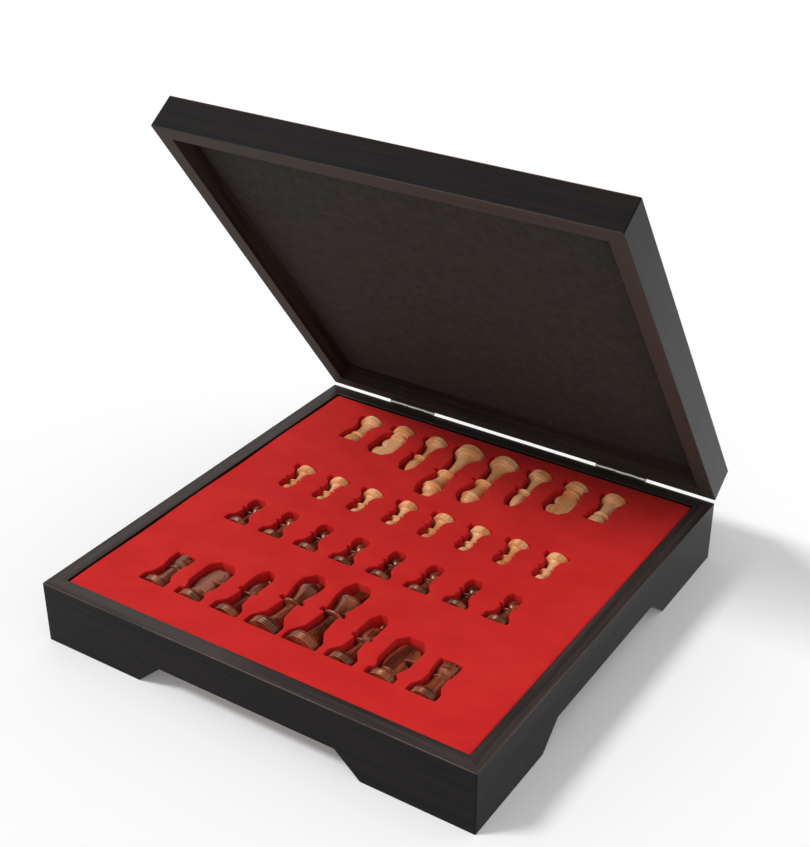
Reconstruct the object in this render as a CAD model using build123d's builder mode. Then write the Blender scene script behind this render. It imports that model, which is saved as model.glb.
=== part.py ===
"""Chess box: a square case on bracket feet, an inlaid lid on two hinges, and a tray of chessmen.

Millimetres, +Z up. The origin is at the middle of the case's footprint, on the table. +Y points to the
hinges and +X to the right. The lid is drawn part open, as it stands at rest.
"""

import os
from dataclasses import dataclass
from math import cos, radians, sin, sqrt

from build123d import *

os.makedirs("parts", exist_ok=True)

# ---------------------------------------------------------------- driving dimensions
# The case
side = 400.0  # outside length and width of the square case
base_height = 55.0  # table to the rim of the base
lid_height = 30.0  # hinge axis to the top edge of the closed lid
wall = 14.0  # thickness of the boards of base and lid
corner_round = 1.2  # upright outer corners
edge_round = 0.7  # long edges of the rims

# The feet: each side of the base is cut away between two feet
foot_length = 96.0  # along a side, where the foot stands on the table
arch_height = 20.0  # table to the top of the arch
arch_slope = 22.0  # run of the slanted end of an arch

# The floor of the base, held in a groove
floor_thickness = 3.0
floor_web = 2.0  # wood between the arch and the groove
groove_depth = 5.0
groove_play = 0.2  # between the edge of the floor and the bottom of the groove

# The tray
tray_play = 0.3  # between the tray and each wall
tray_recess = 1.5  # top of the tray below the rim of the base
axis_depth = 9.5  # axis of a lying man below the top of the tray
pocket_gap = 1.2  # between a man and the side of its pocket
seat_gap = 0.3  # between a man and the bottom of its pocket

# Where the men lie: four rows of eight, in a block
column_pitch = 36.2
columns_shift = -3.5  # middle of the block from the middle of the case, along X
rows_shift = 8.0  # the same along Y
officers_line = 158.0  # feet of the officers from the middle of the block
pawns_line = 53.0  # feet of the pawns from the middle of the block

# The board, let into the top of the lid
panel_thickness = 4.0
veneer_thickness = 1.0
board_recess = 7.0  # top edge of the lid above the board
ledge = 2.0  # width of the rabbet that carries the panel
board_play = 0.2  # between the board and each rail
glue_line = 0.1  # between two pieces of veneer
lining_thickness = 1.0
lining_play = 0.3

# The board's bands, from the squares outwards
square = 36.0
squares_across = 8
rope_width = 4.5
field_strip_width = 6.5
border_width = 26.5

# The hinges, on the back face
lid_opening = 54.5  # from closed, as drawn
seam_gap = 0.3  # between the rims when the lid is closed
hinge_length = 48.0
hinge_centre = 110.0  # from the middle of the case
leaf_width = 15.0
leaf_thickness = 1.2
knuckle_radius = 1.8
knuckle_gap = 0.2  # between two knuckles
barrel_play = 0.3  # between the barrel and the wood, and round a leaf's notches
pin_radius = 0.8
pin_play = 0.05
pin_head_radius = 1.4
pin_head_height = 0.8
base_knuckles = (0, 2, 4)  # counted along the barrel
lid_knuckles = (1, 3)

# The hinge screws
screw_radius = 1.2
screw_head_radius = 2.3
screw_head_angle = 90.0
screw_length = 10.0
screw_point = 2.0  # length of the tapered end
screw_play = 0.05
screw_pitch = 17.0
screw_edge = 5.5  # from the long edge of a leaf
screw_slot_width = 0.6
screw_slot_depth = 0.6


@dataclass
class Man:
    """Sizes of one kind of chessman. Heights are above its foot, and the rest are radii or thicknesses."""

    height: float
    foot: float
    foot_height: float
    bead: float  # rounding on the foot
    neck: float
    neck_height: float
    collar: float
    collar_thickness: float
    ring: float
    ring_thickness: float
    stem: float  # above the ring
    throat: float  # half width that the pocket leaves above the ring
    head_start: float  # height from which the pocket leaves the whole head's width
    head: float
    head_height: float  # where the head is widest
    cap: float  # half width at the very top


KING = Man(
    height=88, foot=15.5, foot_height=7.5, bead=1.6, neck=6.0, neck_height=44.0, collar=11.3,
    collar_thickness=2.6, ring=9.0, ring_thickness=1.6, stem=7.3, throat=7.3, head_start=66.5,
    head=11.3, head_height=68.0, cap=6.8,
)  # fmt: skip
QUEEN = Man(
    height=80, foot=15.0, foot_height=7.2, bead=1.5, neck=5.8, neck_height=39.5, collar=11.0,
    collar_thickness=2.5, ring=8.6, ring_thickness=1.5, stem=6.8, throat=6.8, head_start=61.5,
    head=10.6, head_height=63.0, cap=3.2,
)  # fmt: skip
BISHOP = Man(
    height=63, foot=12.5, foot_height=6.0, bead=1.3, neck=4.6, neck_height=31.0, collar=8.6,
    collar_thickness=2.0, ring=6.8, ring_thickness=1.2, stem=4.9, throat=6.4, head_start=38.0,
    head=7.4, head_height=46.0, cap=2.7,
)  # fmt: skip
ROOK = Man(
    height=44, foot=12.25, foot_height=5.8, bead=1.3, neck=6.9, neck_height=27.0, collar=8.6,
    collar_thickness=1.8, ring=7.6, ring_thickness=1.0, stem=7.2, throat=7.9, head_start=33.0,
    head=9.4, head_height=35.0, cap=9.4,
)  # fmt: skip
PAWN = Man(
    height=38, foot=10.75, foot_height=5.0, bead=1.1, neck=4.4, neck_height=20.6, collar=7.0,
    collar_thickness=1.6, ring=5.0, ring_thickness=0.8, stem=3.9, throat=3.9, head_start=27.0,
    head=6.4, head_height=31.6, cap=3.6,
)  # fmt: skip
KNIGHT = Man(
    height=52, foot=12.5, foot_height=6.0, bead=1.3, neck=8.2, neck_height=12.0, collar=9.6,
    collar_thickness=1.8, ring=8.9, ring_thickness=0.6, stem=8.6, throat=10.8, head_start=20.0,
    head=13.6, head_height=35.0, cap=6.0,
)  # fmt: skip

foot_line = 0.5  # depth of the line turned round a foot
foot_line_width = 0.9
rim_thickness = 1.3  # edge of the king's and queen's crown
rim_step = 1.2
dome_height = 6.0
ball_share = 1.9  # the ball on top sits this share of its radius into the head
tab_thickness = 6.0  # flat tab on the king
tab_foot = 3.6  # half width where it leaves the head
tab_round = 2.0  # height of its arched top
turret_flare = 0.3
turret_wall = 2.8
turret_depth = 3.0
notch_width = 2.0
notch_depth = 2.2
mitre_cut = 1.2
mitre_cut_depth = 4.0
mitre_cut_rise = 3.0  # above the widest part of the head
mitre_cut_angle = 35.0
horse_thickness = 11.0

# ---------------------------------------------------------------- places worked out from them
half = side / 2
inside = side - 2 * wall
floor_level = arch_height + floor_web
tray_bottom = floor_level + floor_thickness
tray_top = base_height - tray_recess
man_axis = tray_top - axis_depth
barrel_reach = knuckle_radius + barrel_play  # the wood to the hinge axis
hinge_y = half + barrel_reach
hinge_z = base_height + seam_gap / 2
knuckle_count = len(base_knuckles) + len(lid_knuckles)
knuckle_pitch = hinge_length / knuckle_count
knuckle_length = knuckle_pitch - knuckle_gap
barrel_length = hinge_length - knuckle_gap
screw_places = [(n * screw_pitch, screw_edge - leaf_width) for n in (-1, 0, 1)]

# The lid's plane: its origin is above the middle of the case when the lid is closed
lid_up = Vector(0, sin(radians(lid_opening)), cos(radians(lid_opening)))
hinge_plane = Plane(origin=(0, hinge_y, hinge_z), x_dir=(1, 0, 0), z_dir=lid_up)
lid = Plane(origin=hinge_plane.from_local_coords(Vector(0, -hinge_y, 0)), x_dir=(1, 0, 0), z_dir=lid_up)
rail_bottom = seam_gap / 2
board_top = lid_height - board_recess
panel_top = board_top - veneer_thickness
ledge_level = panel_top - panel_thickness
board_side = inside + 2 * ledge - 2 * board_play

# The bands' outer sides
squares_side = squares_across * square
rope_side = squares_side + 2 * rope_width
field_side = rope_side + 2 * field_strip_width
border_side = field_side + 2 * border_width


def finish(piece, name):
    """Labels a finished piece and writes it."""
    piece.part.label = name
    export_step(piece.part, f"parts/{name}.step")


def turned(plane, quarter):
    """A plane turned about its own Z by a number of quarter turns."""
    x_dir = (plane.x_dir, plane.y_dir, -plane.x_dir, -plane.y_dir)[quarter]
    return Plane(origin=plane.origin, x_dir=x_dir, z_dir=plane.z_dir)


def mitred_strip(outer, inner, round_corners=0.0, joint=0.0):
    """Plan of the strip along the -Y side of a square frame, cut at 45 degrees, with a gap at each mitre."""
    with BuildSketch() as plan:
        if round_corners:
            RectangleRounded(outer, outer, round_corners)
        else:
            Rectangle(outer, outer)
        Rectangle(inner, inner, mode=Mode.SUBTRACT)
        with BuildLine():
            Polyline((0, -joint), (-outer, -outer - joint), (outer, -outer - joint), close=True)
        make_face(mode=Mode.INTERSECT)
    return plan.sketch


def back_of_base(place):
    """Plane on the back of the base at a hinge: its Y points at the hinge axis, its Z away from the wood."""
    return Plane(origin=(place, half, hinge_z), x_dir=(-1, 0, 0), z_dir=(0, 1, 0))


def back_of_lid(place):
    """The same plane on the back of the lid."""
    return Plane(origin=lid.from_local_coords(Vector(place, half, 0)), x_dir=(1, 0, 0), z_dir=lid.y_dir)


def pilot_holes(back):
    """What the drill takes out of the wood for the screws of both hinges."""
    with BuildPart() as holes:
        for place in (-hinge_centre, hinge_centre):
            with BuildSketch(back(place)):
                with Locations(*screw_places):
                    Circle(screw_radius + screw_play)
            extrude(amount=-(screw_length + screw_play))
    return holes.part


# ---------------------------------------------------------------- the base
def base_wall(quarter):
    """One wall of the base: a mitred board with an arch between its feet and a groove for the floor."""
    plan = turned(case, quarter)
    outside = Plane(origin=plan.from_local_coords(Vector(0, -half, 0)), x_dir=plan.x_dir, z_dir=-plan.y_dir)
    with BuildPart() as board:
        with BuildSketch(plan):
            add(mitred_strip(side, inside, corner_round))
        extrude(amount=base_height)
        fillet(board.edges().group_by(Axis.Z)[-1].sort_by(SortBy.LENGTH)[-2:], edge_round)
        with BuildSketch(outside):
            with BuildLine():
                Polyline(
                    (foot_length - half, 0),
                    (foot_length + arch_slope - half, arch_height),
                    (half - foot_length - arch_slope, arch_height),
                    (half - foot_length, 0),
                    close=True,
                )
            make_face()
        extrude(amount=-wall, mode=Mode.SUBTRACT)
        with BuildSketch(plan.offset(floor_level)):
            Rectangle(inside + 2 * groove_depth, inside + 2 * groove_depth)
        extrude(amount=floor_thickness, mode=Mode.SUBTRACT)
        add(base_pilots, mode=Mode.SUBTRACT)
    return board


case = Plane.XY
base_pilots = pilot_holes(back_of_base)
for quarter, name in enumerate(("front_wall", "right_wall", "back_wall", "left_wall")):
    finish(base_wall(quarter), name)

with BuildPart() as base_floor:
    with BuildSketch(case.offset(floor_level)):
        Rectangle(*[inside + 2 * (groove_depth - groove_play)] * 2)
    extrude(amount=floor_thickness)
finish(base_floor, "base_floor")


# ---------------------------------------------------------------- the men
# A man is drawn lying: its foot is at the origin and its axis along +Y.
def lower_profile(man):
    """Right-hand outline of a turned man from the middle of its foot to the top of its ring."""
    line_start = (man.foot_height - foot_line_width) / 2
    shoulder = (man.foot - man.bead, man.foot_height + man.bead)
    collar_edge = man.collar - man.collar_thickness / 2
    collar_top = man.neck_height + man.collar_thickness
    ring_top = collar_top + man.ring_thickness
    Polyline(
        (0, 0),
        (man.foot, 0),
        (man.foot, line_start),
        (man.foot - foot_line, line_start + foot_line_width / 2),
        (man.foot, line_start + foot_line_width),
        (man.foot, man.foot_height),
    )
    JernArc((man.foot, man.foot_height), tangent=(0, 1), radius=man.bead, arc_size=90)
    Bezier(shoulder, flare_turn(man), (man.neck, man.neck_height))
    Line((man.neck, man.neck_height), (collar_edge, man.neck_height))
    ThreePointArc(
        (collar_edge, man.neck_height),
        (man.collar, man.neck_height + man.collar_thickness / 2),
        (collar_edge, collar_top),
    )
    Polyline((collar_edge, collar_top), (man.ring, collar_top), (man.ring, ring_top), (man.stem, ring_top))
    return ring_top


def flare_turn(man):
    """Where the concave body of a man turns upright: a fifth of the way up, straight below the neck."""
    start = man.foot_height + man.bead
    return (man.neck, start + (man.neck_height - start) / 5)


def crown_profile(man, ring_top, dome_top, top):
    """Outline of a cup-shaped crown with a step in its rim and a dome, ending at a radius on top."""
    rim_top = man.head_height + rim_thickness
    Bezier((man.stem, ring_top), (man.stem, (ring_top + man.head_height) / 2), (man.head, man.head_height))
    Polyline((man.head, man.head_height), (man.head, rim_top), (man.head - rim_step, rim_top))
    Bezier((man.head - rim_step, rim_top), (man.head - 2 * rim_step, dome_top), (top, dome_top))
    Polyline((top, dome_top), (0, dome_top), (0, 0))


with BuildPart() as king:
    with BuildSketch():
        with BuildLine():
            crown_profile(KING, lower_profile(KING), KING.head_height + rim_thickness + dome_height, tab_foot)
        make_face()
    revolve(axis=Axis.Y)
    with BuildSketch():
        with BuildLine():
            left_corner = (-KING.cap, KING.height - tab_round)
            right_corner = (KING.cap, KING.height - tab_round)
            Polyline(right_corner, (tab_foot, KING.head_height), (-tab_foot, KING.head_height), left_corner)
            ThreePointArc(left_corner, (0, KING.height), right_corner)
        make_face()
    extrude(amount=tab_thickness / 2, both=True)

with BuildPart() as queen:
    with BuildSketch():
        with BuildLine():
            crown_profile(QUEEN, lower_profile(QUEEN), QUEEN.height - ball_share * QUEEN.cap, QUEEN.cap / 2)
        make_face()
    revolve(axis=Axis.Y)
    with Locations((0, QUEEN.height - QUEEN.cap, 0)):
        Sphere(QUEEN.cap)

with BuildPart() as bishop:
    with BuildSketch():
        with BuildLine():
            ring_top = lower_profile(BISHOP)
            tip = (BISHOP.cap / 2, BISHOP.height - ball_share * BISHOP.cap)
            ThreePointArc((BISHOP.stem, ring_top), (BISHOP.head, BISHOP.head_height), tip)
            Polyline(tip, (0, tip[1]), (0, 0))
        make_face()
    revolve(axis=Axis.Y)
    with Locations((0, BISHOP.height - BISHOP.cap, 0)):
        Sphere(BISHOP.cap)
    with BuildSketch():
        with Locations(Location((BISHOP.head, BISHOP.head_height + mitre_cut_rise), mitre_cut_angle)):
            Rectangle(2 * mitre_cut_depth, mitre_cut)
    extrude(amount=BISHOP.head, both=True, mode=Mode.SUBTRACT)

with BuildPart() as rook:
    with BuildSketch():
        with BuildLine():
            ring_top = lower_profile(ROOK)
            turret_bore = ROOK.head - turret_wall
            turret_floor = ROOK.height - turret_depth
            Polyline(
                (ROOK.stem, ring_top),
                (ROOK.head - turret_flare, ROOK.head_height),
                (ROOK.head, ROOK.height),
                (turret_bore, ROOK.height),
                (turret_bore, turret_floor),
                (0, turret_floor),
                (0, 0),
            )
        make_face()
    revolve(axis=Axis.Y)
    with BuildSketch(Plane.XZ.offset(-ROOK.height)):
        for direction in (0, 60, 120):
            Rectangle(2 * ROOK.head + notch_width, notch_width, rotation=direction)
    extrude(amount=notch_depth, mode=Mode.SUBTRACT)

with BuildPart() as pawn:
    with BuildSketch():
        with BuildLine():
            ring_top = lower_profile(PAWN)
            Polyline((PAWN.stem, ring_top), (PAWN.stem, PAWN.head_height), (0, PAWN.head_height), (0, 0))
        make_face()
    revolve(axis=Axis.Y)
    with Locations((0, PAWN.height - PAWN.head, 0)):
        Sphere(PAWN.head)

with BuildPart() as knight:
    with BuildSketch():
        with BuildLine():
            horse_foot = lower_profile(KNIGHT)
            Polyline((KNIGHT.stem, horse_foot), (0, horse_foot), (0, 0))
        make_face()
    revolve(axis=Axis.Y)
    with BuildSketch():
        with BuildLine():
            # Up the mane to the ear, down the face to the blunt nose, and back under the jaw to the chest.
            # The widest points lie on the head's radius, so that the flat head fits its round pocket.
            reach = sqrt(KNIGHT.head**2 - (horse_thickness / 2) ** 2)
            mane = Spline((-6.4, horse_foot - 1), (-10.5, 20), (-reach, 31), (-11.3, 42), (-7, 48.6))
            ear = Polyline(mane @ 1, (-3.2, 50.4), (-1.6, KNIGHT.height), (0.6, 50.2))
            face = Spline(ear @ 1, (5.6, 47.6), (10.4, 43.6))
            nose = Spline(face @ 1, (reach - 0.2, 40.4), (reach - 0.2, 36.8), (10.6, 34))
            jaw = Polyline(nose @ 1, (3.8, 31.2), (9.6, 26.6))
            chest = Spline(jaw @ 1, (reach - 0.4, 22.4), (9.9, 18), (6.4, horse_foot - 1))
            Line(chest @ 1, mane @ 0)
        make_face()
    extrude(amount=horse_thickness / 2, both=True)

kinds = {
    "king": (KING, king),
    "queen": (QUEEN, queen),
    "bishop": (BISHOP, bishop),
    "rook": (ROOK, rook),
    "knight": (KNIGHT, knight),
    "pawn": (PAWN, pawn),
}

# Every man's name, kind and place. The light men point to the front and the dark men to the hinges.
set_out = []
officers = ("rook_1", "knight_1", "bishop_1", "queen", "king", "bishop_2", "knight_2", "rook_2")
light_officers = ("rook_1", "knight_1", "bishop_1", "king", "queen", "bishop_2", "knight_2", "rook_2")
for colour, row, ahead in (("light", light_officers, -1), ("dark", officers, 1)):
    for column, officer in enumerate(row):
        x = columns_shift + (column - 3.5) * column_pitch
        for name, line in ((officer, officers_line), (f"pawn_{column + 1}", pawns_line)):
            foot = Vector(x, rows_shift - ahead * line, man_axis)
            place = Plane(origin=foot, x_dir=(ahead, 0, 0), z_dir=(0, 0, 1))
            set_out.append((f"{colour}_{name}", name.split("_")[0], place))

for name, kind, place in set_out:
    with BuildPart(place) as man:
        add(kinds[kind][1].part)
    finish(man, name)


# ---------------------------------------------------------------- the tray
def pocket(man):
    """Space that a pocket leaves for a lying man: its outline with a gap all round, open at the top."""
    shoulder = (man.foot - man.bead, man.foot_height + man.bead)
    turn_up = flare_turn(man)
    # The middle of the concave flare, which the pocket's straight sides stay clear of
    middle = ((shoulder[0] + 3 * man.neck) / 4, (shoulder[1] + 2 * turn_up[1] + man.neck_height) / 4)
    ring_top = man.neck_height + man.collar_thickness + man.ring_thickness
    with BuildSketch(mode=Mode.PRIVATE) as one_side:
        with BuildLine():
            Polyline(
                (0, -pocket_gap),
                (man.foot + pocket_gap, -pocket_gap),
                (man.foot + pocket_gap, shoulder[1] + pocket_gap),
                (middle[0] + pocket_gap, middle[1]),
                (man.neck + pocket_gap, man.neck_height - pocket_gap),
                (man.collar + pocket_gap, man.neck_height - pocket_gap),
                (man.collar + pocket_gap, ring_top + pocket_gap),
                (man.throat + pocket_gap, ring_top + pocket_gap),
                (man.head + pocket_gap, man.head_start),
                (man.head + pocket_gap, (man.head_height + man.height) / 2),
                (man.cap + pocket_gap, man.height + pocket_gap),
                (0, man.height + pocket_gap),
                close=True,
            )
        make_face()
    bed = Plane.XY.offset(pocket_gap - seat_gap)
    with BuildPart() as space:
        with BuildSketch(bed):
            add(one_side.sketch)
        revolve(axis=Axis(bed.origin, bed.y_dir), revolution_arc=180)
        with BuildSketch(bed):
            add(one_side.sketch)
            mirror(about=Plane.YZ)
        extrude(amount=2 * axis_depth)
    return space.part


pockets = {kind: pocket(sizes) for kind, (sizes, _) in kinds.items()}
with BuildPart() as foam_tray:
    with BuildSketch(case.offset(tray_bottom)):
        Rectangle(*[inside - 2 * tray_play] * 2)
    extrude(amount=tray_top - tray_bottom)
    for _, kind, place in set_out:
        with Locations(place):
            add(pockets[kind], mode=Mode.SUBTRACT)
finish(foam_tray, "foam_tray")


# ---------------------------------------------------------------- the lid
lid_pilots = pilot_holes(back_of_lid)
for quarter, name in enumerate(("lid_front_rail", "lid_right_rail", "lid_back_rail", "lid_left_rail")):
    plan = turned(lid, quarter)
    with BuildPart() as rail:
        with BuildSketch(plan.offset(rail_bottom)):
            add(mitred_strip(side, inside, corner_round))
        extrude(amount=lid_height - rail_bottom)
        with BuildSketch(plan.offset(ledge_level)):
            Rectangle(*[inside + 2 * ledge] * 2)
        extrude(amount=lid_height - ledge_level, mode=Mode.SUBTRACT)
        upright = Axis(lid.origin, lid.z_dir)
        for level in (0, -1):
            fillet(rail.edges().group_by(upright)[level].sort_by(SortBy.LENGTH)[-2:], edge_round)
        add(lid_pilots, mode=Mode.SUBTRACT)
    finish(rail, name)

with BuildPart() as board_panel:
    with BuildSketch(lid.offset(ledge_level)):
        Rectangle(board_side, board_side)
    extrude(amount=panel_thickness)
finish(board_panel, "board_panel")

with BuildPart() as lid_lining:
    with BuildSketch(lid.offset(ledge_level)):
        Rectangle(*[inside - 2 * lining_play] * 2)
    extrude(amount=-lining_thickness)
finish(lid_lining, "lid_lining")

# The dark squares start at the front right corner
for colour, name in ((0, "light_squares"), (1, "dark_squares")):
    middles = [
        ((column - 3.5) * square, (row - 3.5) * square)
        for column in range(squares_across)
        for row in range(squares_across)
        if (column + row) % 2 == colour
    ]
    with BuildPart() as squares:
        with BuildSketch(lid.offset(panel_top)):
            with Locations(*middles):
                Rectangle(square - glue_line, square - glue_line)
        extrude(amount=veneer_thickness)
    finish(squares, name)

for name, inner, outer in (
    ("rope_stringing", squares_side, rope_side),
    ("field_strips", rope_side, field_side),
    ("marquetry_border", field_side, border_side),
    ("outer_strips", border_side, board_side + glue_line),
):
    with BuildPart() as strips:
        for quarter in range(4):
            with BuildSketch(turned(lid, quarter).offset(panel_top)):
                add(mitred_strip(outer - glue_line, inner + glue_line, joint=glue_line))
            extrude(amount=veneer_thickness)
    finish(strips, name)


# ---------------------------------------------------------------- the hinges and their screws
def hinge_leaf(back, knuckles):
    """One leaf: a plate on the back of the wood, with some of the knuckles round the hinge axis."""
    barrel = Plane(origin=back.offset(barrel_reach).origin, x_dir=back.y_dir, z_dir=back.x_dir)
    middles = [(n - (knuckle_count - 1) / 2) * knuckle_pitch for n in knuckles]
    with BuildPart() as leaf:
        with BuildSketch(back):
            with Locations((0, -(leaf_width + barrel_reach) / 2)):
                Rectangle(barrel_length, leaf_width - barrel_reach)
            with Locations(*[(middle, -barrel_reach / 2) for middle in middles]):
                Rectangle(knuckle_length, barrel_reach)
        extrude(amount=leaf_thickness)
        for middle in middles:
            with BuildSketch(barrel.offset(middle - knuckle_length / 2)):
                Circle(knuckle_radius)
            extrude(amount=knuckle_length)
        with BuildSketch(barrel):
            Circle(pin_radius + pin_play)
        extrude(amount=hinge_length, both=True, mode=Mode.SUBTRACT)
        with Locations(back.offset(leaf_thickness)):
            with Locations(*screw_places):
                CounterSinkHole(
                    screw_radius + screw_play,
                    screw_head_radius + screw_play,
                    counter_sink_angle=screw_head_angle,
                )
    return leaf


with BuildPart() as screw:
    with BuildSketch(Plane.XZ):
        with BuildLine():
            Polyline(
                (0, 0),
                (screw_head_radius, 0),
                (screw_radius, screw_radius - screw_head_radius),
                (screw_radius, screw_point - screw_length - leaf_thickness),
                (0, -screw_length - leaf_thickness),
                close=True,
            )
        make_face()
    revolve(axis=Axis.Z)
    with BuildSketch(Plane.XY):
        Rectangle(2 * screw_head_radius, screw_slot_width)
    extrude(amount=-screw_slot_depth, mode=Mode.SUBTRACT)

for hand, place in (("left", -hinge_centre), ("right", hinge_centre)):
    finish(hinge_leaf(back_of_base(place), base_knuckles), f"{hand}_hinge_base_leaf")
    finish(hinge_leaf(back_of_lid(place), lid_knuckles), f"{hand}_hinge_lid_leaf")
    axis_plane = Plane(origin=(place, hinge_y, hinge_z), x_dir=(0, 1, 0), z_dir=(1, 0, 0))
    with BuildPart() as pin:
        with BuildSketch(axis_plane):
            Circle(pin_radius)
        extrude(amount=barrel_length / 2, both=True)
        for end in (-1, 1):
            with BuildSketch(axis_plane.offset(end * barrel_length / 2)):
                Circle(pin_head_radius)
            extrude(amount=end * pin_head_height)
    finish(pin, f"{hand}_hinge_pin")

for back, name in ((back_of_base, "base_hinge_screws"), (back_of_lid, "lid_hinge_screws")):
    with BuildPart() as screws:
        for place in (-hinge_centre, hinge_centre):
            with Locations(back(place).offset(leaf_thickness)):
                with Locations(*screw_places):
                    add(screw.part)
    finish(screws, name)
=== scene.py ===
"""Chess box with a hinged lid: a lacquered case on bracket feet, a flocked tray of men, an inlaid board."""

from collections import namedtuple
from math import cos, radians, sin

import bmesh
import bpy
import numpy as np
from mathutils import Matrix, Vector
from mathutils.geometry import delaunay_2d_cdt


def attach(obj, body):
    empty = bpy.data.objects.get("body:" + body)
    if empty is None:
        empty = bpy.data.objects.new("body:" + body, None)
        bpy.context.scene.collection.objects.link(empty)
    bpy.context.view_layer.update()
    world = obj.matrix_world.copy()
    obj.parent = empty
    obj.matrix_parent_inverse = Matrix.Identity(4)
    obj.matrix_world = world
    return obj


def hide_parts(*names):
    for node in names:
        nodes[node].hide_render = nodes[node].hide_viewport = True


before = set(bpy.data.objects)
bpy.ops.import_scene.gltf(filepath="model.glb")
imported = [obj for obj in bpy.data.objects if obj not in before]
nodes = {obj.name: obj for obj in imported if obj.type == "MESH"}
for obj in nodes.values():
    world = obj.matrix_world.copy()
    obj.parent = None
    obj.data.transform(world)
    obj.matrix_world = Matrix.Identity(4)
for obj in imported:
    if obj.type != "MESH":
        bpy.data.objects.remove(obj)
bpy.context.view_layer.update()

# ---------------------------------------------------------------- walls of the base
# Four hardwood boards, mitred at the corners and cut away between the feet. They are stained almost black and
# lacquered. Their rim tops are painted a paler grey-brown, a painted reflection of the sky, and a pale line
# along the outer edge is a painted highlight of a rounded edge.


class Wire:
    """A socket of a finish's nodes: sums on wires add Math nodes, and add() adds any other node."""

    def __init__(self, tree, socket=None):
        self.tree, self.socket = tree, socket

    def add(self, kind, inputs, output=0, stops=(), **settings):
        node = self.tree.nodes.new("ShaderNode" + kind)
        for name, value in settings.items():
            setattr(node, name, value)
        for number, (place, colour) in enumerate(stops):
            ramp = node.color_ramp.elements
            stop = ramp[number] if number < 2 else ramp.new(place)
            stop.position, stop.color = place, (*colour, 1)
        for name, value in inputs.items():
            socket = node.inputs[name]
            if isinstance(value, Wire):
                self.tree.links.new(value.socket, socket)
            else:
                socket.default_value = (*value, 1) if socket.type == "RGBA" else value
        return Wire(self.tree, node.outputs[output])

    def math(self, operation, *others):
        return self.add("Math", dict(enumerate([self, *others])), operation=operation)

    def __add__(self, other):
        return self.math("ADD", other)

    def __sub__(self, other):
        return self.math("SUBTRACT", other)

    def __rsub__(self, other):
        return self.add("Math", {0: other, 1: self}, operation="SUBTRACT")

    def __mul__(self, other):
        return self.math("MULTIPLY", other)

    __radd__, __rmul__ = __add__, __mul__

    def step(self, low, high):
        """Rises smoothly from 0 to 1 while the wire goes from low to high."""
        return self.add("MapRange", {0: self, 1: low, 2: high}, interpolation_type="SMOOTHSTEP")

    def mix(self, first, second):
        """The first colour where the wire is 0, the second where it is 1."""
        return self.add("Mix", {0: self, 6: first, 7: second}, output=2, data_type="RGBA")

    def noise(self, scale, detail=3.0, roughness=0.5):
        """Cloudy noise from 0 to 1 over a place; scale is one number, or one for each axis, per metre."""
        stretch = (scale,) * 3 if isinstance(scale, (int, float)) else scale
        place = self.add("Mapping", {"Vector": self, "Scale": stretch})
        return self.add("TexNoise", {"Vector": place, "Scale": 1.0, "Detail": detail, "Roughness": roughness})

    def part(self, axis):
        """One of a place's three coordinates: 0, 1 or 2."""
        return self.add("SeparateXYZ", {0: self}, output=axis)


def shade(red, green, blue):
    """A colour on the 0 to 255 scale of a screen, as the light that it reflects."""
    return np.array([((c / 255 + 0.055) / 1.055) ** 2.4 if c > 10 else c / 3295 for c in (red, green, blue)])


def new_finish(name, **constants):
    """Starts a finish with its shader's constants, and returns it and a wire of the piece's own place."""
    finish = bpy.data.materials.new(name)
    finish.use_nodes = True
    for word, value in constants.items():
        finish.node_tree.nodes["Principled BSDF"].inputs[word.replace("_", " ")].default_value = value
    return finish, Wire(finish.node_tree).add("TexCoord", {}, output="Object")


def connect(finish, colour, roughness, relief, depth):
    """Links what varies over the surface: its colour, its roughness, and a relief of that depth in metres.
    Returns the finish."""
    shader = finish.node_tree.nodes["Principled BSDF"]
    bump = relief.add("Bump", {"Height": relief, "Strength": 0.6, "Distance": depth})
    for name, wire in (("Base Color", colour), ("Roughness", roughness), ("Normal", bump)):
        finish.node_tree.links.new(wire.socket, shader.inputs[name])
    return finish


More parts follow.
